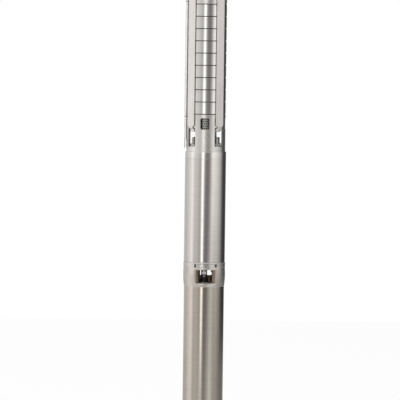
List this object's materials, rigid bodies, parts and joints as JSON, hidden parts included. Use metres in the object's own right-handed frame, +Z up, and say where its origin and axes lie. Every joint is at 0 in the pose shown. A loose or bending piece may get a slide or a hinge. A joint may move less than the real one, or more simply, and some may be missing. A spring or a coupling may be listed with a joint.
{
  "type": "borehole submersible pump",
  "caption": "Slim borehole pump set: strapped stage stack with cable guard, suction interconnector, two canned motors in line and a windowed coupling bracket.",
  "frame": {"origin": "centre of the bottom rim of the lower motor, on the shaft axis", "axes": "+Z up the shaft axis towards the discharge, -Y faces the picture's camera, the cable guard is near -X"},
  "size_m": [0.0989, 0.0966, 1.0818],
  "materials": {
    "motor_sleeve": "brushed stainless tube, grain round the tube",
    "stage_steel": "satin pressed stainless",
    "strap_steel": "satin stainless strip",
    "cast_steel": "blasted and brushed stainless casting",
    "fastener_steel": "plain stainless",
    "pressed_steel": "pressed stainless",
    "shaft_steel": "ground steel",
    "bell_iron": "machined casting",
    "black_rubber": "matt rubber",
    "carbon": "carbon bearing material",
    "stator_resin": "moulded winding resin over the core",
    "rotor_core": "turned rotor core",
    "brass_gland": "turned brass",
    "valve_plastic": "moulded valve cone"
  },
  "bodies": {
    "pump_body": {"cable_guard": "strap_steel", "chamber_01": "stage_steel", "chamber_02": "stage_steel", "chamber_03": "stage_steel", "chamber_04": "stage_steel", "chamber_05": "stage_steel", "chamber_06": "stage_steel", "chamber_07": "stage_steel", "chamber_08": "stage_steel", "chamber_09": "stage_steel", "coupling_bracket": "cast_steel", "cover_ring": "fastener_steel", "diaphragm": "black_rubber", "diaphragm_cover": "pressed_steel", "discharge_casing": "cast_steel", "guard_screws": "fastener_steel", "lead_socket": "brass_gland", "locking_strips": "fastener_steel", "lower_bearing_carrier": "bell_iron", "lower_motor_sleeve": "motor_sleeve", "lower_motor_top_bell": "cast_steel", "lower_stator": "stator_resin", "motor_bearings": "carbon", "motor_nuts": "fastener_steel", "motor_studs": "fastener_steel", "neck_rings": "pressed_steel", "shaft_seals": "black_rubber", "stage_bearings": "black_rubber", "strap_bolts": "fastener_steel", "suction_interconnector": "cast_steel", "suction_strainer": "pressed_steel", "thrust_housing": "bell_iron", "thrust_pads": "carbon", "tie_straps": "strap_steel", "upper_motor_bottom_bell": "cast_steel", "upper_motor_sleeve": "motor_sleeve", "upper_motor_top_bell": "cast_steel", "upper_stator": "stator_resin", "valve_seat": "cast_steel"},
    "drive_line": {"impeller_01": "pressed_steel", "impeller_02": "pressed_steel", "impeller_03": "pressed_steel", "impeller_04": "pressed_steel", "impeller_05": "pressed_steel", "impeller_06": "pressed_steel", "impeller_07": "pressed_steel", "impeller_08": "pressed_steel", "impeller_09": "pressed_steel", "lower_coupling": "shaft_steel", "lower_motor_shaft": "shaft_steel", "lower_rotor": "rotor_core", "pump_coupling": "shaft_steel", "pump_shaft": "shaft_steel", "sand_slingers": "black_rubber", "shaft_nut": "fastener_steel", "thrust_disc": "shaft_steel", "upper_motor_shaft": "shaft_steel", "upper_rotor": "rotor_core"},
    "check_valve": {"valve_cone": "valve_plastic"}
  },
  "joints": [
    {"name": "drive_spin", "type": "hinge", "parent": "pump_body", "child": "drive_line", "pos_m": [0, 0, 0.358], "axis": [0, 0, 1], "continuous": true},
    {"name": "valve_lift", "type": "slide", "parent": "pump_body", "child": "check_valve", "axis": [0, 0, 1], "range_m": [0, 0.009]}
  ]
}
